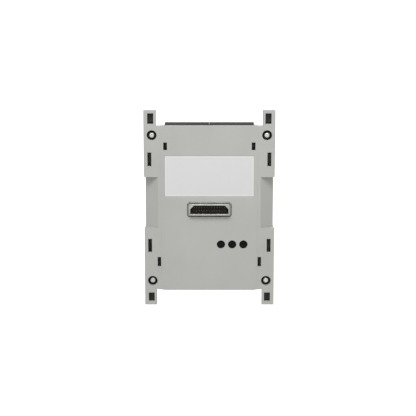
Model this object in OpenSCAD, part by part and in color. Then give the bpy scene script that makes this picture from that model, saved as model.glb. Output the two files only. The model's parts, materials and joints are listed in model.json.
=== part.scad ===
// Plug-on controller module: a flat two-shell cassette that clips onto a host and takes another
// module on its face.
// Frame: X to the right, Z up, Y to the rear. y = 0 is the rear mounting plane, x = 0 and z = 0
// are the middle. The face with the label, switches and stacking socket looks along -Y.

/* [Body] */
// Width of the housing
body_w = 130; // [128:1:134]
// Height of the housing over its middle
body_h = 165.6; // [165:0.2:168]
// Depth from the rear mounting plane to the front face
body_d = 24; // [23.5:0.5:26]
// Depth of the rear shell, up to the parting line
rear_d = 7; // [6.8:0.1:7.4]
// Thickness of the outer walls
wall = 2.2; // [1.8:0.1:2.4]
// How far the middle stands out past the sides, at the top and at the bottom
bulge = 1; // [0.4:0.2:1.4]
// How far the middle panel stands proud of the side columns
panel_step = 0.2; // [0.2:0.1:0.8]

/* [Legs] */
// Overall height over the legs
legs_h = 196; // [195:0.5:198]
// Width of one leg
leg_w = 12.1; // [12:0.1:12.8]
// Width of the window in a leg
window_w = 6; // [5.6:0.1:6.2]
// Height of the windows in the upper legs
window_top_h = 10.2; // [9.6:0.1:10.4]
// Height of the windows in the lower legs
window_bottom_h = 8.8; // [8.4:0.1:9.2]

/* [Front face] */
// Width of the label field
label_w = 88.6; // [80:0.2:89]
// Height of the label field
label_h = 40.6; // [30:0.2:42]
// Depth of the sloping grip recess at its outer side
grip_d = 10.5; // [10:0.1:11]
// Height of the grip recess
grip_h = 51.2; // [44:0.2:52]
// Diameter of the holes over the address switches
switch_hole = 8.4; // [7.4:0.1:8.6]
// Distance between address switches
switch_pitch = 11.25; // [11:0.05:11.6]

/* [Connectors] */
// Outer width of the stacking socket's shroud
shroud_w = 40.8; // [40:0.2:42]
// Outer height of the stacking socket's shroud
shroud_h = 11.4; // [11.2:0.1:12]
// How far the shroud stands proud of the front face
shroud_out = 4; // [3:0.5:4.5]
// Distance between contacts
contact_pitch = 2.54; // [2.5:0.02:2.54]
// Contacts in each of the two rows
contacts = 13; // [9:1:13]

/* [Terminals] */
// Number of pluggable terminal blocks
plugs = 4; // [4:1:4]
// Distance from one terminal block to the next
plug_pitch = 22.1; // [22:0.05:22.2]
// Wires in each terminal block
poles = 6; // [4:1:6]
// Distance between wires
pole_pitch = 3.5; // [3.4:0.05:3.5]
// How far the terminal blocks stand out over the top edge
plug_out = 2.7; // [1:0.1:3]

/* [Latches] */
// How far a latch slides in
latch_travel = 2.2; // [1.8:0.1:2.2]

/* [Hidden] */
$fn = 48;
eps = 0.05;

// Depth levels, from the rear plane at 0 towards the front
face_y = -body_d;
column_y = face_y + panel_step;
part_y = -rear_d;
inside_y = face_y + 2.4;
rear_floor_y = -2.4;

// Outline, and the size of the chamfer round it
edge_break = 0.5;
half_w = body_w / 2;
half_h = body_h / 2;
side_top = half_h - bulge;
leg_top = legs_h / 2;
leg_in = half_w - leg_w;
bulge_x = 44.5;
leg_lip = 1;
leg_lip_y = face_y + 5;
leg_back_in = leg_in + leg_lip;
leg_back_top = leg_top - 0.5;
side_back_top = side_top - bulge * leg_lip / (leg_in - bulge_x);
panel_x = 48.5;
panel_slant = 7.5;
cavity_x = 52.2;
column_in = cavity_x + 1.8;
boss_z = 66.5;

// Leg windows and the latch behind each; a ledge behind the window keeps the wide latch in
window_x = 58.2;
window_top_out = 94.7;
window_bottom_out = 94.1;
hook_way = 3.1;
latch_way = 3.5;
leg_cavity_in = 83.2;
leg_cavity_out = leg_top - 1.6;
latch_half = 3.3;
hook_half = 2.5;
ledge_y = face_y + 5.1;
latch_front_y = ledge_y + 0.3;
stem_h = 3.6;
hook_tip = 1.5;

// Compression springs, between the leg's inner end and the latch's stem
spring_y = -11;
spring_turns = 4;
spring_steps = 10;
spring_sides = 6;
spring_r = 1.7;
spring_wire = 0.28;

// Grip recess
grip_x = 51;
grip_low = -19.5;
grip_high = grip_low + grip_h;
grip_inset = 0.7;
grip_round = 3;
grip_tilt = 40;
grip_side = half_w - grip_inset;
grip_turn_x = grip_side - grip_round * (1 - sin(grip_tilt));
grip_inner_y = face_y + grip_d - (grip_turn_x - grip_x) * tan(grip_tilt);

// Corner screws
screw_x = 57;
screw_z = 73.2;
counterbore_d = 9.8;
counterbore_y = face_y + 5;
washer_t = 0.8;
screw_head_d = 5.2;

// Slots for the clips of the next module: [x, z, width, height]
slots = [
    [43.7, 62.3, 3.7, 7.5], [59.4, 49.4, 3.9, 13.6],
    [59.4, -37.1, 3.9, 13.4], [50.2, -53.7, 3.5, 9.6]
];

// Label field
label_z = 32.7;
label_pocket = 0.5;
label_ramp = 3;

// Stacking socket and bus plug
socket_z = -0.6;
shroud_wall = 1.5;
socket_floor_y = face_y + 0.5;
flange_drop = 2.9;
cutout_w = shroud_w + 3.5;
cutout_h = shroud_h + 3.8;
well_gap = 0.6;
row_gap = 3.2;

// Address switches
switch_z = -36.1;
rotor_top_y = face_y + 2.2;
switch_x = 11.6;
rotor_d = 7;
rotor_break = 1;
rotor_flange_d = 9.8;
switch_base = 10.4;
switch_base_y = -12.4;
switch_turns = [200, 35, 290];

// Board
board_t = 1.6;
board_front_y = part_y + 0.1;
board_rear_y = board_front_y + board_t;
board_x = 49.8;
board_low = -78;
board_high = 72;
post_places = [[45, 44], [-45, 44], [45, -66], [-45, -66]];

// Terminal blocks
plug_top = half_h + plug_out;
plug_split = 71.2;
plug_nose_low = 63.4;
plug_body_w = plug_pitch - 0.16;
plug_y0 = -18.6;
plug_y1 = -7.4;
header_low = 61.5;
bay_x = plugs * plug_pitch / 2 + 0.5;
bay_y = plug_y0 - 0.4;
entry_y = -16.1;
clamp_screw_y = -11.3;

housing_grey = [0.72, 0.725, 0.705];
label_white = [0.86, 0.86, 0.86];
plug_grey = [0.26, 0.265, 0.26];
dark_plastic = [0.12, 0.12, 0.12];
black_plastic = [0.05, 0.05, 0.05];
metal = [0.78, 0.78, 0.76];
gold = [0.83, 0.68, 0.35];

// ---- helpers ----

// Extrudes an outline drawn in X and Z from y0 back to y1
module slab(y0, y1) {
    translate([0, y1, 0]) rotate([90, 0, 0]) linear_extrude(y1 - y0) children();
}

// A round bar along Y
module rod(x, z, y0, y1, d) {
    translate([x, y1, z]) rotate([90, 0, 0]) cylinder(d = d, h = y1 - y0);
}

// A box given by its limits
module block(x0, x1, y0, y1, z0, z1) {
    translate([x0, y0, z0]) cube([x1 - x0, y1 - y0, z1 - z0]);
}

// The same child at the left and at the right
module both_sides() {
    for (side = [0, 1]) mirror([side, 0, 0]) children();
}

// A half outline at the right, closed by its own mirror image
function closed(half) = concat(half, [for (i = [len(half) - 1 : -1 : 0]) [-half[i][0], half[i][1]]]);

// Points of an arc
function arc(cx, cy, r, a0, a1, steps = 6) =
    [for (i = [0 : steps]) let (a = a0 + (a1 - a0) * i / steps) [cx + r * cos(a), cy + r * sin(a)]];

// A rectangle with rounded corners
function rounded(w, h, r) = concat(
    arc(w / 2 - r, h / 2 - r, r, 0, 90), arc(r - w / 2, h / 2 - r, r, 90, 180),
    arc(r - w / 2, r - h / 2, r, 180, 270), arc(w / 2 - r, r - h / 2, r, 270, 360));

// ---- outlines ----

body_half = [
    [bulge_x, half_h], [leg_in, side_top], [leg_in, leg_top], [half_w, leg_top],
    [half_w, -leg_top], [leg_in, -leg_top], [leg_in, -side_top], [bulge_x, -half_h]
];
// The legs are a little narrower and shorter behind their front plates
back_half = [
    [bulge_x, half_h], [leg_back_in, side_back_top], [leg_back_in, leg_back_top],
    [half_w, leg_back_top], [half_w, -leg_back_top], [leg_back_in, -leg_back_top],
    [leg_back_in, -side_back_top], [bulge_x, -half_h]
];
panel_half = [
    [bulge_x, half_h], [panel_x, half_h - panel_slant],
    [panel_x, panel_slant - half_h], [bulge_x, -half_h]
];

// How far a bar runs past a corner between two edges that run clockwise: further where it stands out
function overrun(before, after, size) = cross(before, after) < 0 ? size : 0.12;

// Bars that break every other edge of a clockwise ring of points at one level
module edge_bars(points, y, size, first) {
    n = len(points);
    side = size * sqrt(2);
    for (i = [first : 2 : n - 1]) {
        way = points[(i + 1) % n] - points[i];
        start = overrun(points[i] - points[(i + n - 1) % n], way, size);
        end = overrun(way, points[(i + 2) % n] - points[(i + 1) % n], size);
        translate([points[i][0], y, points[i][1]]) rotate([0, -atan2(way[1], way[0]), 0])
            rotate([45, 0, 0]) translate([-start, -side / 2, -side / 2])
                cube([norm(way) + start + end, side, side]);
    }
}

// The children, with all edges of the ring broken
module break_edges(points, y, size) {
    difference() {
        difference() {
            children();
            edge_bars(points, y, size, 0);
        }
        edge_bars(points, y, size, 1);
    }
}

// Inside of the middle, narrower beside the screw bosses and beside the grip recesses
module front_cavity_outline() {
    polygon(closed([
        [bulge_x - 1, half_h - wall], [cavity_x - 1.7, side_top - wall], [cavity_x - 1.7, boss_z],
        [cavity_x, boss_z], [cavity_x, grip_high + wall], [grip_x - wall, grip_high + wall],
        [grip_x - wall, grip_low - wall], [cavity_x, grip_low - wall], [cavity_x, -boss_z],
        [cavity_x - 1.7, -boss_z], [cavity_x - 1.7, wall - side_top], [bulge_x - 1, wall - half_h]]));
}

module rear_cavity_outline() {
    polygon(closed([
        [bulge_x - 1, half_h - wall], [cavity_x - 1.7, side_top - wall],
        [cavity_x - 1.7, wall - side_top], [bulge_x - 1, wall - half_h]]));
}

// Opening for the stacking socket: cut corners at the top, round ones at the bottom
module cutout_outline(gap = 0) {
    cut = 2.4;
    r = 2;
    w = cutout_w / 2 - gap;
    h = cutout_h / 2 - gap;
    translate([0, socket_z]) polygon(concat(
        [[w, h - cut], [w - cut, h], [cut - w, h], [-w, h - cut]],
        arc(r - w, r - h, r, 180, 270), arc(w - r, r - h, r, 270, 360)));
}

// Mating outline of the connectors, with its upper corners cut so that it fits one way only
module mating_outline(gap = 0) {
    w = shroud_w / 2 - shroud_wall - gap;
    h = shroud_h / 2 - shroud_wall - gap;
    cut = 3.6;
    r = 0.8;
    translate([0, socket_z]) polygon(concat(
        [[w, h - cut], [w - cut, h], [cut - w, h], [-w, h - cut]],
        arc(r - w, r - h, r, 180, 270, 4), arc(w - r, r - h, r, 270, 360, 4)));
}

// ---- housing ----

module corner_places() {
    for (x = [-screw_x, screw_x], z = [-screw_z, screw_z]) translate([x, 0, z]) children();
}

module front_cavities() {
    slab(inside_y, part_y + 1) front_cavity_outline();
    both_sides() {
        block(column_in, half_w - wall, inside_y, part_y + 1, grip_high + wall, boss_z);
        block(column_in, half_w - wall, inside_y, part_y + 1, -boss_z, grip_low - wall);
        translate([0, 0, grip_low + wall]) linear_extrude(grip_h - 2 * wall) polygon([
            [grip_x, part_y + 1], [half_w - wall, part_y + 1],
            [half_w - wall, grip_inner_y + 2.4 + (half_w - wall - grip_x) * tan(grip_tilt)],
            [grip_x, grip_inner_y + 2.4]]);
    }
}

// A peg that stands in the end of a latch spring
module spring_peg(x, z) {
    translate([x, spring_y, z - eps]) cylinder(d = 2.2, h = 1.2);
}

// The recess at a side slopes back to a rounded edge; behind that both shells are set back a little
module grip_recess() {
    floor_profile = concat(
        [[grip_x, face_y - 1], [half_w + 1, face_y - 1], [half_w + 1, 1], [grip_side, 1]],
        arc(grip_side - grip_round, face_y + grip_d + grip_round * cos(grip_tilt), grip_round,
            0, grip_tilt - 90, 8),
        [[grip_x, grip_inner_y]]);
    translate([0, 0, grip_low]) linear_extrude(grip_h) polygon(floor_profile);
}

function window_out(end) = end > 0 ? window_top_out : window_bottom_out;
function window_tall(end) = end > 0 ? window_top_h : window_bottom_h;

// Turns a shape made for the upper legs down to the lower ones
module at_end(end) {
    mirror([0, 0, end > 0 ? 0 : 1]) children();
}

// A box centred on the leg window
module leg_block(half, y0, y1, z0, z1) {
    block(window_x - half, window_x + half, y0, y1, z0, z1);
}

module leg_spaces() {
    for (end = [-1, 1]) at_end(end) difference() {
        union() {
            leg_block(window_w / 2, face_y - 1, inside_y + 0.5,
                window_out(end) - window_tall(end), window_out(end));
            leg_block(hook_way, inside_y, ledge_y + 1, leg_cavity_in, leg_cavity_out);
            leg_block(latch_way, ledge_y, part_y + 1, leg_cavity_in, leg_cavity_out);
        }
        spring_peg(window_x, leg_cavity_in);
    }
}

// Recess for the label, with a ramp at its lower edge
module label_recess() {
    low = label_z - label_h / 2;
    block(-label_w / 2, label_w / 2, face_y - 1, face_y + label_pocket, low, low + label_h);
    translate([-label_w / 2, 0, 0]) rotate([90, 0, 90]) linear_extrude(label_w) polygon([
        [face_y - 1, low + eps], [face_y + label_pocket, low + eps],
        [face_y, low - label_ramp], [face_y - 1, low - label_ramp]]);
}

module bottom_vents() {
    for (i = [-8 : 8])
        block(i * 5 - 1.2, i * 5 + 1.2, face_y + 5.5, part_y - 2.5, -half_h - 1, wall + 1 - half_h);
}

module front_shell() {
    color(housing_grey) difference() {
        union() {
            break_edges(closed(body_half), column_y, edge_break)
                slab(column_y, leg_lip_y) polygon(closed(body_half));
            slab(leg_lip_y - eps, part_y) polygon(closed(back_half));
            difference() {
                slab(face_y, column_y + edge_break + eps) polygon(closed(panel_half));
                edge_bars(closed(panel_half), face_y, edge_break, 1);
            }
        }
        front_cavities();
        both_sides() {
            grip_recess();
            leg_spaces();
            slab(face_y - 1, inside_y + 1)
                for (s = slots) translate([s[0], s[1]]) square([s[2], s[3]], center = true);
        }
        corner_places() {
            rod(0, 0, face_y - 1, counterbore_y, counterbore_d);
            rod(0, 0, face_y, part_y + 1, 3.4);
        }
        slab(face_y - 1, inside_y + 1) cutout_outline();
        for (i = [0 : 2])
            rod(switch_x + i * switch_pitch, switch_z, face_y - 1, inside_y + 1, switch_hole);
        label_recess();
        block(-bay_x, bay_x, bay_y, part_y + 1, half_h - wall - 1, half_h + 1);
        bottom_vents();
    }
}

module rear_vents() {
    for (i = [-7 : 7]) {
        block(i * 5 - 1.1, i * 5 + 1.1, rear_floor_y - 1, 1, 24, 50);
        block(i * 5 - 1.1, i * 5 + 1.1, rear_floor_y - 1, 1, -74, -56);
    }
}

// Locating tabs on the rear plane, one for each slot in a front face
module rear_tabs() {
    for (s = slots) {
        w = s[2] - 0.7;
        h = s[3] - 1;
        block(s[0] - w / 2, s[0] + w / 2, -1, 2.6, s[1] - h / 2, s[1] + h / 2);
        block(s[0] - w / 2 + 0.4, s[0] + w / 2 - 0.4, 2.5, 3.6,
            s[1] - h / 2 + 0.5, s[1] + h / 2 - 0.5);
    }
}

module rear_leg_spaces() {
    for (end = [-1, 1]) at_end(end) {
        leg_block(latch_way, part_y - 1, rear_floor_y, leg_cavity_in, leg_cavity_out);
        leg_block(hook_way, rear_floor_y - 1, 1,
            window_out(end) - 6.6, window_out(end) + hook_tip + 0.3);
    }
}

module rear_shell() {
    color(housing_grey) difference() {
        union() {
            difference() {
                difference() {
                    slab(part_y, 0) polygon(closed(back_half));
                    edge_bars(closed(back_half), 0, edge_break, 1);
                }
                slab(part_y - 1, rear_floor_y) rear_cavity_outline();
                both_sides() {
                    block(column_in, half_w - wall, part_y - 1, rear_floor_y,
                        grip_high - wall, boss_z);
                    block(column_in, half_w - wall, part_y - 1, rear_floor_y,
                        -boss_z, grip_high - 2 * wall);
                    rear_leg_spaces();
                    grip_recess();
                }
                rear_vents();
                block(-31, 31, -0.4, 1, -49, -18);
            }
            for (p = post_places) rod(p[0], p[1], board_rear_y, rear_floor_y + 0.5, 7);
            both_sides() rear_tabs();
        }
        slab(part_y - 1, 1) cutout_outline(-well_gap);
        corner_places() rod(0, 0, part_y - 1, -2.9, 3);
        for (p = post_places) rod(p[0], p[1], part_y, -1.4, 2.5);
    }
}

module front_label() {
    color(label_white) slab(face_y + 0.3, face_y + label_pocket) translate([0, label_z])
        square([label_w - 0.3, label_h - 0.3], center = true);
}

module rear_label() {
    color(label_white) block(-30.7, 30.7, -0.4, -0.2, -48.7, -18.3);
}

// ---- fasteners ----

module corner_screws() {
    head_y = counterbore_y - washer_t;
    color(metal) corner_places() difference() {
        union() {
            rod(0, 0, head_y - 1.4, head_y, screw_head_d);
            translate([0, head_y - 1.4 + eps, 0]) rotate([90, 0, 0])
                cylinder(d1 = screw_head_d, d2 = screw_head_d - 1.6, h = 0.7);
            rod(0, 0, head_y - eps, -3.4, 2.9);
        }
        translate([0, head_y - 1, 0]) rotate([90, 0, 0]) cylinder(d = 1.9, h = 3, $fn = 6);
    }
}

module corner_washers() {
    color(black_plastic) corner_places() difference() {
        rod(0, 0, counterbore_y - washer_t, counterbore_y, counterbore_d - 0.3);
        rod(0, 0, counterbore_y - 2, counterbore_y + 1, 3.3);
    }
}

module board_screws() {
    color(metal) for (p = post_places) difference() {
        union() {
            rod(p[0], p[1], board_front_y - 1.6, board_front_y, 4.6);
            rod(p[0], p[1], board_front_y - eps, -1.8, 2.4);
        }
        block(p[0] - 2, p[0] + 2, board_front_y - 2, board_front_y - 0.9, p[1] - 0.3, p[1] + 0.3);
        block(p[0] - 0.3, p[0] + 0.3, board_front_y - 2, board_front_y - 0.9, p[1] - 2, p[1] + 2);
    }
}

// ---- board and what stands on it ----

module main_board() {
    color([0.05, 0.32, 0.17]) difference() {
        block(-board_x, board_x, board_front_y, board_rear_y, board_low, board_high);
        for (p = post_places) rod(p[0], p[1], board_front_y - 1, board_rear_y + 1, 2.8);
    }
}

module processor() {
    color(dark_plastic) block(-38, -18, board_front_y - 1.6, board_front_y, -32, -12);
}

module memory_chips() {
    color(dark_plastic) for (z = [-46, -60])
        block(-34, -22, board_front_y - 1.2, board_front_y, z, z + 9);
}

module optocouplers() {
    color([0.9, 0.9, 0.88]) for (i = [-4 : 3])
        block(i * 10 + 1.5, i * 10 + 8.5, board_front_y - 3.6, board_front_y, 50, 55);
}

module supply_converter() {
    color(dark_plastic) block(14, 38, board_front_y - 9, board_front_y, 18, 34);
}

module capacitors() {
    color([0.62, 0.63, 0.66]) for (i = [0 : 2])
        rod(-38 + i * 11, 30, board_front_y - 11, board_front_y, 8);
}

module inductor() {
    color([0.2, 0.2, 0.21]) difference() {
        block(-2, 10, board_front_y - 6, board_front_y, 20, 32);
        rod(4, 26, board_front_y - 7, board_front_y - 4, 6);
    }
}

module battery_holder() {
    color(dark_plastic) difference() {
        block(10, 34, board_front_y - 5, board_front_y, -70, -48);
        rod(22, -58, board_front_y - 6, board_front_y - 1, 20.4);
    }
}

module backup_battery() {
    color(metal) union() {
        rod(22, -58, board_front_y - 3.4, board_front_y - 1, 20);
        rod(22, -58, board_front_y - 4.2, board_front_y - 3.3, 17.4);
    }
}

// ---- stacking socket in front, bus plug behind ----

module contact_places() {
    for (i = [0 : contacts - 1], row = [-1, 1])
        translate([(i - (contacts - 1) / 2) * contact_pitch, 0, socket_z + row * row_gap / 2])
            children();
}

// The shroud, with a flange that closes the opening round it
module stack_socket_shroud() {
    color(metal) difference() {
        union() {
            slab(face_y - shroud_out, face_y + 8) translate([0, socket_z])
                polygon(rounded(shroud_w, shroud_h, 1.6));
            slab(face_y + flange_drop, face_y + flange_drop + 1) cutout_outline(0.15);
        }
        slab(face_y - shroud_out - 1, face_y + 9) mating_outline();
    }
}

module stack_socket_insulator() {
    color(black_plastic) difference() {
        union() {
            slab(socket_floor_y, face_y + 8) mating_outline(0.02);
            slab(face_y + 8, board_front_y) translate([0, socket_z]) square([38, 9], center = true);
        }
        contact_places() {
            block(-0.5, 0.5, socket_floor_y - 1, socket_floor_y + 5, -0.5, 0.5);
            block(-0.35, 0.35, socket_floor_y + 4, board_front_y + 1, -0.35, 0.35);
        }
    }
}

module stack_socket_contacts() {
    color(gold) contact_places() difference() {
        union() {
            block(-0.46, 0.46, socket_floor_y + 0.6, socket_floor_y + 5, -0.46, 0.46);
            block(-0.3, 0.3, socket_floor_y + 4.9, board_front_y, -0.3, 0.3);
        }
        block(-0.32, 0.32, socket_floor_y, socket_floor_y + 4.4, -0.32, 0.32);
    }
}

module bus_plug_insulator() {
    color(black_plastic) difference() {
        slab(board_rear_y, 0.3) mating_outline(0.2);
        contact_places() block(-0.32, 0.32, board_rear_y - 1, 1, -0.32, 0.32);
    }
}

module bus_plug_pins() {
    color(gold) contact_places() block(-0.3, 0.3, board_rear_y, 3.4, -0.3, 0.3);
}

// ---- address switches ----

module switch_place(i) {
    translate([switch_x + i * switch_pitch, 0, switch_z]) children();
}

module address_switch_bases() {
    color(dark_plastic) for (i = [0 : 2]) switch_place(i) difference() {
        slab(switch_base_y, board_front_y) square(switch_base, center = true);
        rod(0, 0, switch_base_y - 1, switch_base_y + 4, 3);
    }
}

// A tall rotor with a screwdriver slot and a notch that points at the set digit
module address_rotor(i) {
    color(black_plastic) switch_place(i) rotate([0, switch_turns[i], 0]) difference() {
        union() {
            translate([0, rotor_top_y + rotor_break, 0]) rotate([90, 0, 0])
                cylinder(d1 = rotor_d, d2 = rotor_d - 2 * rotor_break, h = rotor_break);
            rod(0, 0, rotor_top_y + rotor_break, switch_base_y - 0.3, rotor_d);
            rod(0, 0, inside_y + 0.3, inside_y + 1.3, rotor_flange_d);
            rod(0, 0, switch_base_y - 0.4, switch_base_y + 3.6, 2.9);
        }
        block(-0.45, 0.45, rotor_top_y - 1, rotor_top_y + 1.2, -2.1, 1.2);
        slab(rotor_top_y - 1, rotor_top_y + 0.8) polygon([[-1.1, 1.1], [1.1, 1.1], [0, 2.3]]);
    }
}

module address_rotor_hundreds() address_rotor(0);
module address_rotor_tens() address_rotor(1);
module address_rotor_units() address_rotor(2);

// ---- terminal blocks ----

function plug_x(i) = (i - (plugs + 1) / 2) * plug_pitch;

module pole_places(i) {
    for (k = [0 : poles - 1])
        translate([plug_x(i) + (k - (poles - 1) / 2) * pole_pitch, 0, 0]) children();
}

module terminal_headers() {
    half = plug_body_w / 2;
    color(plug_grey) for (i = [1 : plugs]) difference() {
        translate([plug_x(i), 0, 0]) difference() {
            block(-half, half, plug_y0 + 0.4, board_front_y, header_low, plug_split - 0.2);
            block(1 - half, half - 1, plug_y0 + 1.4, plug_y1 - 1, header_low + 1.5, plug_split + 1);
        }
        pole_places(i) block(-0.5, 0.5, -13.8, -12.8, header_low - 1, header_low + 2);
    }
}

module terminal_header_pins() {
    color(metal) for (i = [1 : plugs]) pole_places(i) {
        block(-0.5, 0.5, -13.8, -12.8, header_low - 0.9, plug_split - 1);
        block(-0.5, 0.5, -12.9, board_front_y, header_low - 0.9, header_low - 0.1);
    }
}

module terminal_plug(i) {
    half = plug_body_w / 2;
    color(plug_grey) difference() {
        translate([plug_x(i), 0, 0]) union() {
            block(-half, half, plug_y0, plug_y1, plug_split, plug_top);
            block(1.2 - half, half - 1.2, plug_y0 + 1.6, plug_y1 - 1.2, plug_nose_low, plug_split + eps);
        }
        pole_places(i) {
            block(-0.75, 0.75, -14.05, -12.55, plug_nose_low - 1, plug_split + 1);
            block(-1.35, 1.35, entry_y - 1.4, entry_y + 1.4, plug_top - 9, plug_top + 1);
            translate([0, clamp_screw_y, plug_top - 6.5]) cylinder(d = 2.9, h = 8);
        }
    }
}

module terminal_screws(i) {
    color(metal) pole_places(i) translate([0, clamp_screw_y, plug_top - 6.3]) difference() {
        union() {
            cylinder(d = 1.8, h = 4);
            translate([0, 0, 3.6]) cylinder(d = 2.7, h = 1.5);
        }
        block(-2, 2, -0.25, 0.25, 4.5, 6);
    }
}

// The cage that draws up on the wire in each entry
module wire_clamps(i) {
    color(metal) pole_places(i) translate([0, entry_y, plug_top - 8.9]) difference() {
        block(-1.3, 1.3, -1.35, 1.35, 0, 7);
        block(-0.95, 0.95, -1, 1, 1, 8);
    }
}

module terminal_plug_1() terminal_plug(1);
module terminal_plug_2() terminal_plug(2);
module terminal_plug_3() terminal_plug(3);
module terminal_plug_4() terminal_plug(4);
module terminal_screws_1() terminal_screws(1);
module terminal_screws_2() terminal_screws(2);
module terminal_screws_3() terminal_screws(3);
module terminal_screws_4() terminal_screws(4);
module wire_clamps_1() wire_clamps(1);
module wire_clamps_2() wire_clamps(2);
module wire_clamps_3() wire_clamps(3);
module wire_clamps_4() wire_clamps(4);

// ---- latches ----

// side is -1 at the left and 1 at the right; end is -1 at the bottom and 1 at the top
module latch(side, end) {
    out = window_out(end);
    stem = out - 0.4 - stem_h;
    stem_y = rear_floor_y - 0.3;
    color(dark_plastic) mirror([side > 0 ? 0 : 1, 0, 0]) at_end(end) union() {
        leg_block(latch_half, latch_front_y, latch_front_y + 2,
            leg_cavity_in + latch_travel + 0.3, leg_cavity_out - 0.3);
        leg_block(latch_half, latch_front_y + 1.9, stem_y, stem, stem + stem_h);
        leg_block(hook_half, stem_y - 0.1, 2.5, stem, stem + stem_h);
        for (rib = [-1 : 1]) translate([rib * 1.6, 0, 0])
            leg_block(0.3, latch_front_y - 0.5, latch_front_y + 0.1,
                out - window_tall(end) + 2.6, out - 0.6);
        translate([window_x - hook_half, 0, 0]) rotate([90, 0, 90]) linear_extrude(2 * hook_half) polygon([
            [2.4, stem], [4.6, stem + 0.8], [4.6, stem + stem_h - 0.2],
            [2.6, out + hook_tip], [2.6, stem + stem_h], [2.4, stem + stem_h]]);
        mirror([0, 0, 1]) spring_peg(window_x, -stem);
    }
}

module latch_upper_left() latch(-1, 1);
module latch_upper_right() latch(1, 1);
module latch_lower_left() latch(-1, -1);
module latch_lower_right() latch(1, -1);

// A point on the skin of a spring's wire
function spring_point(turn, around, low, high) =
    let (a = 360 * turn, b = 360 * around / spring_sides, r = spring_r + spring_wire * cos(b))
    [r * cos(a), r * sin(a), low + (high - low) * turn / spring_turns + spring_wire * sin(b)];

module coil(low, high) {
    rings = spring_turns * spring_steps;
    points = [for (i = [0 : rings], k = [0 : spring_sides - 1])
        spring_point(i / spring_steps, k, low, high)];
    sides = [for (i = [0 : rings - 1], k = [0 : spring_sides - 1])
        let (n = (k + 1) % spring_sides, a = i * spring_sides, b = a + spring_sides)
        [a + k, b + k, b + n, a + n]];
    ends = [[for (k = [0 : spring_sides - 1]) k],
        [for (k = [spring_sides - 1 : -1 : 0]) rings * spring_sides + k]];
    polyhedron(points, concat(sides, ends), convexity = 6);
}

module spring(side, end) {
    stem = window_out(end) - 0.4 - stem_h;
    color(metal) at_end(end) translate([side * window_x, spring_y, 0])
        coil(leg_cavity_in + spring_wire + 0.02, stem - spring_wire - 0.02);
}

module spring_upper_left() spring(-1, 1);
module spring_upper_right() spring(1, 1);
module spring_lower_left() spring(-1, -1);
module spring_lower_right() spring(1, -1);

front_shell();
rear_shell();
front_label();
rear_label();
main_board();
board_screws();
corner_screws();
corner_washers();
stack_socket_shroud();
stack_socket_insulator();
stack_socket_contacts();
bus_plug_insulator();
bus_plug_pins();
address_switch_bases();
address_rotor_hundreds();
address_rotor_tens();
address_rotor_units();
terminal_headers();
terminal_header_pins();
terminal_plug_1();
terminal_plug_2();
terminal_plug_3();
terminal_plug_4();
terminal_screws_1();
terminal_screws_2();
terminal_screws_3();
terminal_screws_4();
wire_clamps_1();
wire_clamps_2();
wire_clamps_3();
wire_clamps_4();
latch_upper_left();
latch_upper_right();
latch_lower_left();
latch_lower_right();
spring_upper_left();
spring_upper_right();
spring_lower_left();
spring_lower_right();
processor();
memory_chips();
optocouplers();
supply_converter();
capacitors();
inductor();
battery_holder();
backup_battery();
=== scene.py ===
"""Looks of the plug-on controller module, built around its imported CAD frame.

Everything is in the CAD's frame: X to the right, Y to the rear, Z up. The face looks along -Y.
Lengths are in metres, except in the constants and tables below, which are in millimetres.
"""

import json
import math

import bmesh
import bpy
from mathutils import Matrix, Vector


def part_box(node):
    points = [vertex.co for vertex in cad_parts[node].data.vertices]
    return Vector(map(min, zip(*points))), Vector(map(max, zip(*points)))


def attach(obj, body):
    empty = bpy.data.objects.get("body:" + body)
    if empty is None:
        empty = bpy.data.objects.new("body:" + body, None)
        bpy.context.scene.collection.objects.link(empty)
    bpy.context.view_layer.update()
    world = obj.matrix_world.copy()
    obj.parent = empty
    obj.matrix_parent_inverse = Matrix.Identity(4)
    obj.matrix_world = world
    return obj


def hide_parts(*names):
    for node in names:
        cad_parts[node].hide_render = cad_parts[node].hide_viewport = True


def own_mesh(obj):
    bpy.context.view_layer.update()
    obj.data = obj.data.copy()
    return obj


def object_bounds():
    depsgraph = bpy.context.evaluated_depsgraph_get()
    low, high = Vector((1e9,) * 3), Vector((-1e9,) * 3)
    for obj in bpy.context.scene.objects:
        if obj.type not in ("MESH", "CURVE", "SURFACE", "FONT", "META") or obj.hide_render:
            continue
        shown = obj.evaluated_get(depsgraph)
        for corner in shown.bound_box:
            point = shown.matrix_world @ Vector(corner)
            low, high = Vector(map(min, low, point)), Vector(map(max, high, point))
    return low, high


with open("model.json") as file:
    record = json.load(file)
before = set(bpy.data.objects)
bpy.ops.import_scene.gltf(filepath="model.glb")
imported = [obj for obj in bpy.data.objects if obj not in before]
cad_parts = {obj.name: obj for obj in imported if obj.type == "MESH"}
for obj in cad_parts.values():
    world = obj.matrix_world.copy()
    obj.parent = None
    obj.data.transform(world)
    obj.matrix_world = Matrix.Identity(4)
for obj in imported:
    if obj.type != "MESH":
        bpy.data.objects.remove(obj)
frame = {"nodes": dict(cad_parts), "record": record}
cad_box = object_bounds()

MM = 0.001
SHADER_SAMPLES = 6  # of the bevel and occlusion nodes

# Terminal plugs and their headers
BLOCKS = 4
POLES = 6
BLOCK_PITCH = 22.1
POLE_PITCH = 3.5

# Chip leads
PROCESSOR_LEADS = 26  # on each of its four sides
PROCESSOR_PITCH = 0.65
MEMORY_LEADS = 6  # on each of its two sides
MEMORY_PITCH = 1.27
MEMORY_INSET = 4.5  # from an end of the pair of chips to a chip's middle
LEAD_THICKNESS = 0.13

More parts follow.
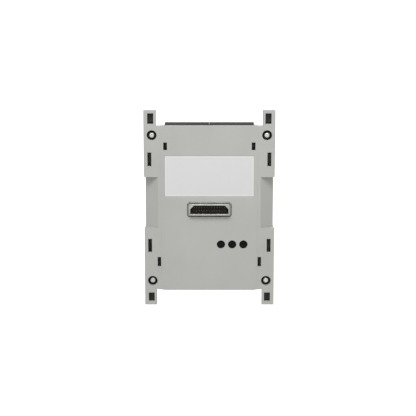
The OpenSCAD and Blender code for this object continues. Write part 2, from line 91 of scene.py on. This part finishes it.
# Left end (x) and height (z) of each row of small chip parts on the board, and how many are in a row
PASSIVE_ROWS = [
    (-45.5, -8.0), (-45.5, 2.0), (-14.0, -14.0), (-14.0, -26.0), (-6.0, -50.0), (-6.0, -62.0),
    (30.0, 8.0), (41.0, 0.0), (-20.0, 44.0), (16.0, 44.0),
]
PASSIVES_IN_ROW = 4
PASSIVE_PITCH = 2.6

# Corner screws: the head's profile from the bottom of its recess, over the rim and down its side, as
# (distance below the top, radius, height of the six lobes)
SCREW_HEAD_RADIUS = 2.6
SCREW_HEAD_HEIGHT = 2.05
SCREW_HEAD = [
    (1.35, 0.55, 0.05), (1.25, 0.88, 0.13), (0.20, 0.92, 0.14), (0.06, 1.00, 0.14), (0.01, 1.16, 0.08),
    (0.05, 1.45, 0.0), (0.18, 1.85, 0.0), (0.42, 2.22, 0.0), (0.80, 2.48, 0.0), (1.25, 2.59, 0.0),
    (1.90, 2.59, 0.0),
]
# The seat and the plain shank below it, as (distance below the seat, radius)
SCREW_NECK = [(-0.03, 2.52), (0.0, 2.40), (0.0, 1.70), (0.15, 1.45), (0.90, 1.44)]
THREAD_PITCH = 0.5
THREAD_CORE = 1.22
THREAD_CREST = 1.45
THREAD_RINGS_PER_TURN = 4
SCREW_SIDES = 48

# Latch springs
SPRING_WIRE = 0.27  # radius of the wire
SPRING_TURNS = 6.0
SPRING_CLOSED_TURNS = 1.0  # at each end
SPRING_STEPS = 28  # per turn


# ---- node materials ----

class Look:
    """A principled node material, with short ways to add nodes to it."""

    def __init__(self, name, **sockets):
        self.material = bpy.data.materials.new(name)
        self.material.use_nodes = True
        self.tree = self.material.node_tree
        self.shader = self.tree.nodes["Principled BSDF"]
        for key, value in sockets.items():
            self.shader.inputs[key.replace("_", " ")].default_value = value
        self.place = self.add("ShaderNodeTexCoord").outputs["Object"]
        self.geometry = self.add("ShaderNodeNewGeometry")

    def add(self, kind, inputs=None, **settings):
        node = self.tree.nodes.new(kind)
        for key, value in settings.items():
            setattr(node, key, value)
        for key, value in (inputs or {}).items():
            self.put(node.inputs[key], value)
        return node

    def put(self, socket, value):
        if isinstance(value, bpy.types.NodeSocket):
            self.tree.links.new(value, socket)
        else:
            socket.default_value = value

    def mapped(self, **settings):
        """The object's own coordinates, scaled or turned before a texture reads them."""
        return self.add("ShaderNodeMapping", {"Vector": self.place, **settings}).outputs["Vector"]

    def noise(self, scale, detail=3.0, roughness=0.55, place=None):
        inputs = {
            "Vector": place or self.place, "Scale": scale, "Detail": detail, "Roughness": roughness}
        return self.add("ShaderNodeTexNoise", inputs).outputs["Fac"]

    def cells(self, scale):
        """The distance to the nearest of many scattered points."""
        inputs = {"Vector": self.place, "Scale": scale}
        return self.add("ShaderNodeTexVoronoi", inputs).outputs["Distance"]

    def math(self, operation, a, b=0.0):
        node = self.add("ShaderNodeMath", operation=operation)
        self.put(node.inputs[0], a)
        self.put(node.inputs[1], b)
        return node.outputs[0]

    def span(self, value, low, high, out_low=0.0, out_high=1.0, smooth=False):
        """The part of value from low to high, drawn out to out_low to out_high and held there."""
        inputs = {
            "Value": value, "From Min": low, "From Max": high, "To Min": out_low, "To Max": out_high}
        kind = "SMOOTHSTEP" if smooth else "LINEAR"
        return self.add("ShaderNodeMapRange", inputs, interpolation_type=kind).outputs["Result"]

    def mix(self, factor, a, b):
        node = self.add("ShaderNodeMix", data_type="RGBA")
        self.put(node.inputs["Factor"], factor)
        for name, value in (("A", a), ("B", b)):
            socket = next(s for s in node.inputs if s.name == name and s.type == "RGBA")
            self.put(socket, (*value, 1.0) if isinstance(value, tuple) else value)
        return next(s for s in node.outputs if s.type == "RGBA")

    def axis(self, name):
        return self.add("ShaderNodeSeparateXYZ", {"Vector": self.place}).outputs[name]

    def edges(self, radius):
        """1 on outer and inner edges within radius, from the rounded normal; 0 on flat faces."""
        inputs = {"Radius": radius}
        rounded = self.add("ShaderNodeBevel", inputs, samples=SHADER_SAMPLES).outputs["Normal"]
        dot = self.add("ShaderNodeVectorMath", operation="DOT_PRODUCT")
        self.put(dot.inputs[0], rounded)
        self.put(dot.inputs[1], self.geometry.outputs["Normal"])
        turned = self.math("SUBTRACT", 1.0, dot.outputs["Value"])
        return self.span(turned, 0.02, 0.3, smooth=True)

    def shade_in_hollows(self, distance):
        """1 in tight corners and slots, where ambient occlusion finds shade, 0 in the open; a mask for
        painted shade.
        """
        inputs = {"Distance": distance}
        shade = self.add("ShaderNodeAmbientOcclusion", inputs, samples=SHADER_SAMPLES).outputs["AO"]
        return self.span(shade, 0.9, 0.25)

    def bump(self, height, strength, distance, normal=None):
        inputs = {"Height": height, "Strength": strength, "Distance": distance}
        if normal is not None:
            inputs["Normal"] = normal
        return self.add("ShaderNodeBump", inputs).outputs["Normal"]

    def finish(self, colour=None, roughness=None, normal=None):
        for socket, value in (("Base Color", colour), ("Roughness", roughness), ("Normal", normal)):
            if value is not None:
                self.put(self.shader.inputs[socket], value)
        return self.material


def moulded(
        name, base, light, dark, grain=2600, depth=0.03, rough=(0.42, 0.6), wear=0.5, **sockets):
    """Injection-moulded plastic: spark-eroded grain, cloudy pigment, pale edges, painted shade in
    corners.

    rough is the roughness in the grain's hollows and on its crests, and wear is how much of the light
    colour the scuffed edges take.
    """
    look = Look(name, **{"IOR": 1.5, "Specular_IOR_Level": 0.4, **sockets})
    fine = look.noise(grain, 4.0, 0.62)
    cloud = look.noise(34, 4.0, 0.55)
    flow = look.noise(14, 3.0, 0.5, look.mapped(Scale=(1.0, 1.0, 0.22)))
    colour = look.mix(look.span(cloud, 0.3, 0.7), dark, base)
    colour = look.mix(look.math("MULTIPLY", look.span(flow, 0.45, 0.75), 0.35), colour, light)
    speck = look.span(look.noise(grain * 0.45, 2.0, 0.7), 0.62, 0.8, 0.0, 0.25)
    colour = look.mix(speck, colour, dark)
    scuffs = look.span(look.noise(420, 5.0, 0.7), 0.4, 0.65)
    edge = look.math("MULTIPLY", look.edges(0.45 * MM), look.math("MULTIPLY", scuffs, wear))
    colour = look.mix(edge, colour, light)
    # Painted shade: corners and slots darkened in the colour where ambient occlusion finds shade
    painted_shade = look.math("MULTIPLY", look.shade_in_hollows(2.5 * MM), 0.3)
    colour = look.mix(painted_shade, colour, dark)
    normal = look.bump(fine, 0.5, depth * MM)
    normal = look.bump(look.noise(90, 2.0, 0.5), 0.12, 0.05 * MM, normal)
    return look.finish(colour, look.span(fine, 0.3, 0.7, *rough), normal)


def plated(name, base, dark, stretch, rough, metallic=1.0):
    """Plated or drawn metal: fine lines along one way, worn bright edges, painted shade in hollows."""
    look = Look(name, Metallic=metallic)
    lines = look.noise(900, 4.0, 0.6, look.mapped(Scale=stretch))
    film = look.noise(160, 4.0, 0.6)
    colour = look.mix(look.span(film, 0.35, 0.7), base, dark)
    # Painted shade: hollows darkened in the colour where ambient occlusion finds shade
    colour = look.mix(look.math("MULTIPLY", look.shade_in_hollows(1.2 * MM), 0.55), colour, dark)
    colour = look.mix(look.math("MULTIPLY", look.edges(0.15 * MM), 0.5), colour, base)
    normal = look.bump(lines, 0.25, 0.012 * MM)
    return look.finish(colour, look.span(lines, 0.3, 0.7, *rough), normal)


def label_film(name, base, border, field, frame_width, centre, rough):
    """Blank satin film: fibrous paper under a clear coat, with a plain printed border.

    field is half the printed size in X and Z, centre its middle, and the border its outer frame_width.
    """
    look = Look(name, IOR=1.48, Coat_Weight=0.15, Coat_Roughness=0.25)
    fibre = look.noise(1500, 4.0, 0.6, look.mapped(Scale=(1.0, 1.0, 0.35)))
    cloud = look.noise(28, 3.0, 0.5)
    colour = look.mix(look.span(cloud, 0.3, 0.7), base, tuple(0.985 * c for c in base))
    inside = 1.0
    for axis, half, middle in zip("XZ", field, centre):
        off = look.math("ABSOLUTE", look.math("SUBTRACT", look.axis(axis), middle))
        near = look.span(off, half - frame_width, half - 0.75 * frame_width, 1.0, 0.0, smooth=True)
        inside = look.math("MULTIPLY", near, inside)
    colour = look.mix(look.math("SUBTRACT", 1.0, inside), colour, border)
    speck = look.span(look.noise(900, 3.0, 0.6), 0.66, 0.8, 0.0, 0.2)
    colour = look.mix(speck, colour, tuple(0.8 * c for c in base))
    normal = look.bump(fibre, 0.25, 0.012 * MM)
    normal = look.bump(look.noise(55, 2.0, 0.5), 0.1, 0.06 * MM, normal)
    return look.finish(colour, look.span(fibre, 0.3, 0.7, *rough), normal)


def solder_mask(name):
    """Green lacquer over copper: straight traces that stand a little proud, and tinned vias."""
    look = Look(name, IOR=1.52, Coat_Weight=0.35, Coat_Roughness=0.12)
    weave = look.noise(1200, 2.0, 0.5, look.mapped(Scale=(1.0, 1.0, 0.5)))
    bricks = {
        "Vector": look.mapped(Rotation=(math.pi / 2, 0, 0)), "Scale": 1.0, "Mortar Size": 0.22 * MM,
        "Mortar Smooth": 0.1, "Brick Width": 11.5 * MM, "Row Height": 1.27 * MM}
    runs = look.add(
        "ShaderNodeTexBrick", bricks, offset=0.37, squash=0.6, squash_frequency=3).outputs["Fac"]
    colour = look.mix(runs, (0.022, 0.125, 0.060), (0.035, 0.190, 0.085))
    colour = look.mix(look.span(weave, 0.4, 0.7, 0.0, 0.3), colour, (0.015, 0.09, 0.045))
    vias = look.span(look.cells(260), 0.055, 0.04)
    colour = look.mix(vias, colour, (0.55, 0.52, 0.44))
    normal = look.bump(runs, 0.5, 0.03 * MM)
    normal = look.bump(vias, 0.5, 0.03 * MM, normal)
    return look.finish(colour, look.span(weave, 0.3, 0.7, 0.25, 0.38), normal)


LOOKS = {
    "housing_plastic": moulded(
        "moulded_light_grey", (0.478, 0.483, 0.455), (0.540, 0.545, 0.515), (0.452, 0.457, 0.430)),
    "label_white": label_film(
        "label_film_white", (0.704, 0.704, 0.708), (0.745, 0.748, 0.725),
        (44.15 * MM, 20.15 * MM), 2.0 * MM, (0.0, 32.7 * MM), (0.40, 0.50)),
    "label_silver": label_film(
        "label_film_silver", (0.560, 0.560, 0.555), (0.470, 0.470, 0.465),
        (30.7 * MM, 15.2 * MM), 1.0 * MM, (0.0, -33.5 * MM), (0.30, 0.42)),
    "circuit_board": solder_mask("solder_mask_green"),
    "zinc_steel": plated(
        "zinc_plated_steel", (0.66, 0.67, 0.68), (0.45, 0.46, 0.46), (1.0, 0.2, 1.0), (0.22, 0.4)),
    "bright_steel": plated(
        "bright_nickel", (0.90, 0.89, 0.87), (0.72, 0.71, 0.69), (1.0, 1.0, 1.0), (0.30, 0.45),
        metallic=0.55),
    "black_rubber": moulded(
        "black_rubber", (0.012, 0.012, 0.012), (0.03, 0.03, 0.03), (0.008, 0.008, 0.008),
        grain=1800, rough=(0.7, 0.9), wear=0.3, Specular_IOR_Level=0.25),
    "connector_shell": plated(
        "dull_tin_shell", (0.60, 0.60, 0.58), (0.42, 0.42, 0.40), (1.0, 0.15, 1.0), (0.32, 0.5)),
    "black_plastic": moulded(
        "glass_filled_black", (0.005, 0.005, 0.005), (0.020, 0.020, 0.020), (0.003, 0.003, 0.003),
        grain=3400, depth=0.015, rough=(0.45, 0.6), wear=0.4, Specular_IOR_Level=0.2),
    "gold_contact": plated(
        "gold_flash", (0.52, 0.40, 0.19), (0.32, 0.24, 0.12), (1.0, 0.1, 1.0), (0.15, 0.3)),
    "terminal_plastic": moulded(
        "terminal_dark_grey", (0.068, 0.068, 0.066), (0.12, 0.12, 0.116), (0.045, 0.045, 0.043),
        grain=2800, rough=(0.45, 0.6), wear=0.5),
    "tin_contact": plated(
        "bright_tin", (0.74, 0.74, 0.72), (0.52, 0.52, 0.50), (1.0, 0.2, 1.0), (0.25, 0.4)),
    "chip_epoxy": moulded(
        "chip_epoxy", (0.022, 0.022, 0.022), (0.05, 0.05, 0.05), (0.014, 0.014, 0.014),
        grain=3000, depth=0.01, rough=(0.5, 0.65), wear=0.3),
    "white_epoxy": moulded(
        "white_epoxy", (0.74, 0.73, 0.69), (0.82, 0.81, 0.78), (0.62, 0.61, 0.57),
        grain=3000, depth=0.01, rough=(0.4, 0.55), wear=0.3),
    "capacitor_can": plated(
        "capacitor_aluminium", (0.80, 0.81, 0.82), (0.60, 0.61, 0.62), (1.0, 0.05, 1.0), (0.25, 0.4)),
    "latch_plastic": moulded(
        "latch_dark_grey", (0.040, 0.040, 0.039), (0.085, 0.085, 0.082), (0.026, 0.026, 0.025),
        grain=2600, rough=(0.4, 0.55), wear=0.6),
    "spring_steel": plated(
        "spring_wire", (0.56, 0.56, 0.55), (0.36, 0.36, 0.35), (1.0, 1.0, 0.3), (0.2, 0.35)),
}

# How wide the moulded or pressed edges may be rounded, in millimetres, by material slot
ROUNDED = {
    "housing_plastic": 0.1, "terminal_plastic": 0.14, "latch_plastic": 0.12, "black_plastic": 0.06,
    "connector_shell": 0.35, "white_epoxy": 0.2, "chip_epoxy": 0.12, "black_rubber": 0.12,
    "bright_steel": 0.12, "capacitor_can": 0.4, "zinc_steel": 0.04, "tin_contact": 0.04,
    "gold_contact": 0.04,
}


def dress_frame():
    """Gives every CAD node its material, and softly rounded edges to those whose slot is in ROUNDED.
    """
    slots = {s["node"]: s["material_slot"] for s in frame["record"]["subparts"]}
    for name, node in frame["nodes"].items():
        node.data.materials.clear()
        node.data.materials.append(LOOKS[slots[name]])
        width = ROUNDED.get(slots[name])
        if width is None:
            continue
        weld = node.modifiers.new("weld", "WELD")
        weld.merge_threshold = 0.002 * MM
        flat = node.modifiers.new("flat_faces", "DECIMATE")
        flat.decimate_type = "DISSOLVE"
        flat.angle_limit = math.radians(0.6)
        bevel = node.modifiers.new("rounded_edges", "BEVEL")
        bevel.width = width * MM
        bevel.segments = 2
        bevel.limit_method = "ANGLE"
        bevel.angle_limit = math.radians(28)
        node.modifiers.new("shading", "WEIGHTED_NORMAL").keep_sharp = False


# ---- made pieces ----

def piece(name, mesh, slot, body, smooth=35):
    """Puts a bmesh into the scene as a piece of the object that rides on a CAD body."""
    bmesh.ops.recalc_face_normals(mesh, faces=mesh.faces)
    data = bpy.data.meshes.new(name)
    mesh.to_mesh(data)
    mesh.free()
    made = bpy.data.objects.new(name, data)
    bpy.context.scene.collection.objects.link(made)
    for face in data.polygons:
        face.use_smooth = True
    data.set_sharp_from_angle(angle=math.radians(smooth))
    data.materials.append(LOOKS[slot])
    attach(made, body)
    return made


def skin(mesh, rings):
    """Joins rings of points, all with the same count, into a skin of quads with closed ends."""
    made = [[mesh.verts.new(p) for p in points] for points in rings]
    count = len(made[0])
    for a, b in zip(made, made[1:]):
        for i in range(count):
            mesh.faces.new((a[i], a[(i + 1) % count], b[(i + 1) % count], b[i]))
    for end in (made[0], made[-1]):
        middle = mesh.verts.new(sum((v.co for v in end), Vector()) / count)
        for i in range(count):
            mesh.faces.new((end[i], end[(i + 1) % count], middle))


def ring(x, z, y, radius, sides, lobe=0.0):
    """A ring round an axis along Y. With lobe, six lobes stand out of it."""
    points = []
    for i in range(sides):
        a = 2 * math.pi * i / sides
        r = radius + lobe * math.cos(6 * a)
        points.append(Vector((x + r * math.cos(a), y, z + r * math.sin(a))))
    return points


def thread_ring(x, z, y, sides, start):
    """A ring through a screw thread that begins at start: its radius swells where the helix passes."""
    points = []
    for i in range(sides):
        a = 2 * math.pi * i / sides
        turn = ((y - start) / (THREAD_PITCH * MM) + i / sides) % 1.0
        r = (THREAD_CORE + (THREAD_CREST - THREAD_CORE) * (1 - abs(2 * turn - 1))) * MM
        points.append(Vector((x + r * math.cos(a), y, z + r * math.sin(a))))
    return points


def corner_screws():
    """Pan-head machine screws with a six-lobe recess and a rolled thread."""
    low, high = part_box("corner_screws")
    head = SCREW_HEAD_RADIUS * MM
    top = low.y
    seat = top + SCREW_HEAD_HEIGHT * MM
    start, end = seat + 1.0 * MM, high.y - 0.35 * MM
    steps = int((end - start) / (THREAD_PITCH / THREAD_RINGS_PER_TURN * MM))
    sides = SCREW_SIDES
    mesh = bmesh.new()
    for x in (low.x + head, high.x - head):
        for z in (low.z + head, high.z - head):
            rings = [ring(x, z, top + y * MM, r * MM, sides, lobe * MM) for y, r, lobe in SCREW_HEAD]
            rings += [ring(x, z, seat + y * MM, r * MM, sides) for y, r in SCREW_NECK]
            for i in range(steps + 1):
                rings.append(thread_ring(x, z, start + (end - start) * i / steps, sides, start))
            rings.append(ring(x, z, high.y, 1.0 * MM, sides))
            skin(mesh, rings)
    made = piece("corner_screws_six_lobe", mesh, "bright_steel", "housing")
    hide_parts("corner_screws")


def tube(mesh, path, radius, sides=10):
    """A round wire along a path, its rings turned with the least twist."""
    side = None
    rings = []
    for i, point in enumerate(path):
        way = (path[min(i + 1, len(path) - 1)] - path[max(i - 1, 0)]).normalized()
        if side is None:
            side = way.orthogonal().normalized()
        side = (side - way * side.dot(way)).normalized()
        other = way.cross(side)
        rings.append([
            point + radius * (math.cos(a) * side + math.sin(a) * other)
            for a in (2 * math.pi * k / sides for k in range(sides))])
    skin(mesh, rings)


def latch_spring(corner):
    """A compression spring with closed ends."""
    node = f"spring_{corner}"
    low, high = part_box(node)
    up = 1 if corner.startswith("upper") else -1
    fixed, free = (low.z, high.z) if up > 0 else (high.z, low.z)
    wire = SPRING_WIRE * MM
    mid = (low + high) / 2
    radius = (high.x - low.x) / 2 - 0.28 * MM
    span = abs(free - fixed) - 2 * wire
    rise = SPRING_CLOSED_TURNS * 1.9 * wire
    path = []
    for i in range(int(SPRING_TURNS * SPRING_STEPS) + 1):
        t = i / SPRING_STEPS
        if t < SPRING_CLOSED_TURNS:
            height = rise * t / SPRING_CLOSED_TURNS
        elif t > SPRING_TURNS - SPRING_CLOSED_TURNS:
            height = span - rise * (SPRING_TURNS - t) / SPRING_CLOSED_TURNS
        else:
            open_turns = SPRING_TURNS - 2 * SPRING_CLOSED_TURNS
            height = rise + (span - 2 * rise) * (t - SPRING_CLOSED_TURNS) / open_turns
        a = 2 * math.pi * t
        path.append(Vector((
            mid.x + radius * math.cos(a), mid.y + radius * math.sin(a), fixed + up * (wire + height))))
    mesh = bmesh.new()
    tube(mesh, path, wire)
    made = piece(f"latch_{node}_wire", mesh, "spring_steel", "housing")
    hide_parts(node)
    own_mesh(made)


def plate(mesh, low, high):
    """A small block given by two corners, its edges rounded."""
    start = bmesh.ops.create_cube(mesh, size=1.0)["verts"]
    middle = (low + high) / 2
    bmesh.ops.scale(mesh, vec=high - low, verts=start)
    bmesh.ops.translate(mesh, vec=middle, verts=start)
    edges = {e for v in start for e in v.link_edges}
    bmesh.ops.bevel(
        mesh, geom=list(edges), offset=0.06 * MM, segments=2, affect="EDGES", profile=0.6)


def gull_lead(mesh, foot, out, width, body_edge, board):
    """One bent lead from a chip's side down to the board's face at board.

    foot is its place along the side, out the way it points, along X or Z, and body_edge the distance
    from the chip's middle to where the lead leaves it.
    """
    thick = LEAD_THICKNESS * MM
    across = Vector((out.z, 0, out.x))
    high = board - 0.9 * MM
    profile = [(0.0, high), (0.45, high), (0.75, board - 0.22 * MM), (1.3, board - 0.08 * MM)]
    rings = []
    for reach, y in profile:
        point = Vector((foot.x, 0, foot.z)) + out * (body_edge + reach * MM)
        corners = []
        for side, lift in ((-1, -1), (1, -1), (1, 1), (-1, 1)):
            corner = point + across * side * width / 2
            corners.append(Vector((corner.x, y + lift * thick / 2, corner.z)))
        rings.append(corners)
    skin(mesh, rings)


def chip_leads():
    """Leads of the processor on four sides, and of the memory chips on two."""
    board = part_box("main_board")[0].y
    mesh = bmesh.new()
    low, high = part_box("processor")
    mid, half = (low + high) / 2, (high.x - low.x) / 2
    for out in (Vector((1, 0, 0)), Vector((-1, 0, 0)), Vector((0, 0, 1)), Vector((0, 0, -1))):
        across = Vector((abs(out.z), 0, abs(out.x)))
        for k in range(PROCESSOR_LEADS):
            foot = mid + across * (k - (PROCESSOR_LEADS - 1) / 2) * PROCESSOR_PITCH * MM
            gull_lead(mesh, foot, out, 0.28 * MM, half - 0.1 * MM, board)
    low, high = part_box("memory_chips")
    half = (high.x - low.x) / 2
    for z in (high.z - MEMORY_INSET * MM, low.z + MEMORY_INSET * MM):
        for out in (Vector((1, 0, 0)), Vector((-1, 0, 0))):
            for k in range(MEMORY_LEADS):
                along = (k - (MEMORY_LEADS - 1) / 2) * MEMORY_PITCH * MM
                foot = Vector(((low.x + high.x) / 2, 0, z + along))
                gull_lead(mesh, foot, out, 0.4 * MM, half - 0.1 * MM, board)
    piece("chip_leads", mesh, "tin_contact", "housing", smooth=30)


def small_parts():
    """Rows of chip resistors and capacitors on the board, each a body between two tinned caps."""
    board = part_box("main_board")[0].y
    bodies, caps = bmesh.new(), bmesh.new()
    for left, z in PASSIVE_ROWS:
        for k in range(PASSIVES_IN_ROW):
            at = Vector(((left + PASSIVE_PITCH * k) * MM, board, z * MM))
            low = at + Vector((-0.6, -0.55, -1.1)) * MM
            high = at + Vector((0.6, -0.02, 1.1)) * MM
            plate(bodies, low, high)
            for end in (-1, 1):
                low = at + Vector((-0.64, -0.6, end * 1.35 - 0.28)) * MM
                high = at + Vector((0.64, 0.0, end * 1.35 + 0.28)) * MM
                plate(caps, low, high)
    piece("board_passives", bodies, "chip_epoxy", "housing", smooth=40)
    piece("board_passive_caps", caps, "tin_contact", "housing", smooth=40)


def solder_joints():
    """Small domes of solder behind the terminal headers' pins."""
    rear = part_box("main_board")[1].y
    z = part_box("terminal_header_pins")[0].z + 0.4 * MM
    half_blocks, half_poles = (BLOCKS - 1) / 2, (POLES - 1) / 2
    mesh = bmesh.new()
    for block in range(BLOCKS):
        for pole in range(POLES):
            x = ((block - half_blocks) * BLOCK_PITCH + (pole - half_poles) * POLE_PITCH) * MM
            rings = [ring(x, z, rear - 0.05 * MM, 0.95 * MM, 20)]
            for k in range(6):
                a = math.radians(15 * k)
                rings.append(ring(x, z, rear + 0.65 * math.sin(a) * MM, 0.9 * math.cos(a) * MM, 20))
            skin(mesh, rings)
    piece("header_solder_joints", mesh, "tin_contact", "housing")


# ---- studio ----

def studio():
    """A plain pale floor under the legs, white surroundings, and soft lights in front and behind."""
    lowest = cad_box[0].z
    bpy.ops.mesh.primitive_plane_add(size=16, location=(0, 3, lowest))
    floor = bpy.context.object
    floor.name = "floor"
    look = Look("floor_white", Roughness=0.9, Specular_IOR_Level=0.0, Emission_Strength=0.75)
    look.shader.inputs["Emission Color"].default_value = (1, 1, 1, 1)
    tone = look.span(look.noise(3, 3.0, 0.5), 0.3, 0.7)
    floor.data.materials.append(look.finish(look.mix(tone, (0.92, 0.92, 0.92), (0.95, 0.95, 0.95))))
    floor.visible_diffuse = False
    floor.visible_glossy = False

    world = bpy.data.worlds.new("studio")
    world.use_nodes = True
    nodes, links = world.node_tree.nodes, world.node_tree.links
    background = nodes["Background"]
    background.inputs["Color"].default_value = (1, 1, 1, 1)
    seen = nodes.new("ShaderNodeLightPath")
    strength = nodes.new("ShaderNodeMapRange")
    links.new(seen.outputs["Is Camera Ray"], strength.inputs["Value"])
    strength.inputs["To Min"].default_value = 0.55
    strength.inputs["To Max"].default_value = 1.1
    links.new(strength.outputs["Result"], background.inputs["Strength"])
    bpy.context.scene.world = world

    def area(name, size, power, place, target):
        data = bpy.data.lights.new(name, "AREA")
        data.shape = "RECTANGLE"
        data.size, data.size_y = size
        data.energy = power
        light = bpy.data.objects.new(name, data)
        light.location = place
        light.rotation_euler = (Vector(target) - Vector(place)).to_track_quat("-Z", "Y").to_euler()
        bpy.context.scene.collection.objects.link(light)

    area("key", (0.9, 0.5), 10.5, (-0.12, -0.85, 1.05), (0, 0, 0.02))
    area("fill", (1.2, 1.2), 1.75, (0.2, -1.2, 0.35), (0, 0, 0))
    area("rear", (1.2, 0.8), 8.0, (0.2, 1.1, 0.9), (0, 0, 0))
    bpy.context.scene.view_settings.view_transform = "Standard"


def camera():
    """The photograph's view: almost straight on, 8 degrees above the face's normal, 0.9 m away."""
    face_depth = 24 * MM
    distance = 0.905
    target = Vector((0, -face_depth, 0.85 * MM))
    above = math.radians(8)
    data = bpy.data.cameras.new("camera")
    data.sensor_width = 36
    data.lens = 78.59
    data.shift_x = -0.00325
    data.clip_start, data.clip_end = 0.01, 50
    made = bpy.data.objects.new("camera", data)
    made.location = target + distance * Vector((0, -math.cos(above), math.sin(above)))
    made.rotation_euler = (math.pi / 2 - above, 0, 0)
    bpy.context.scene.collection.objects.link(made)
    bpy.context.scene.camera = made


dress_frame()
corner_screws()
for corner in ("upper_left", "upper_right", "lower_left", "lower_right"):
    latch_spring(corner)
chip_leads()
small_parts()
solder_joints()
studio()
camera()
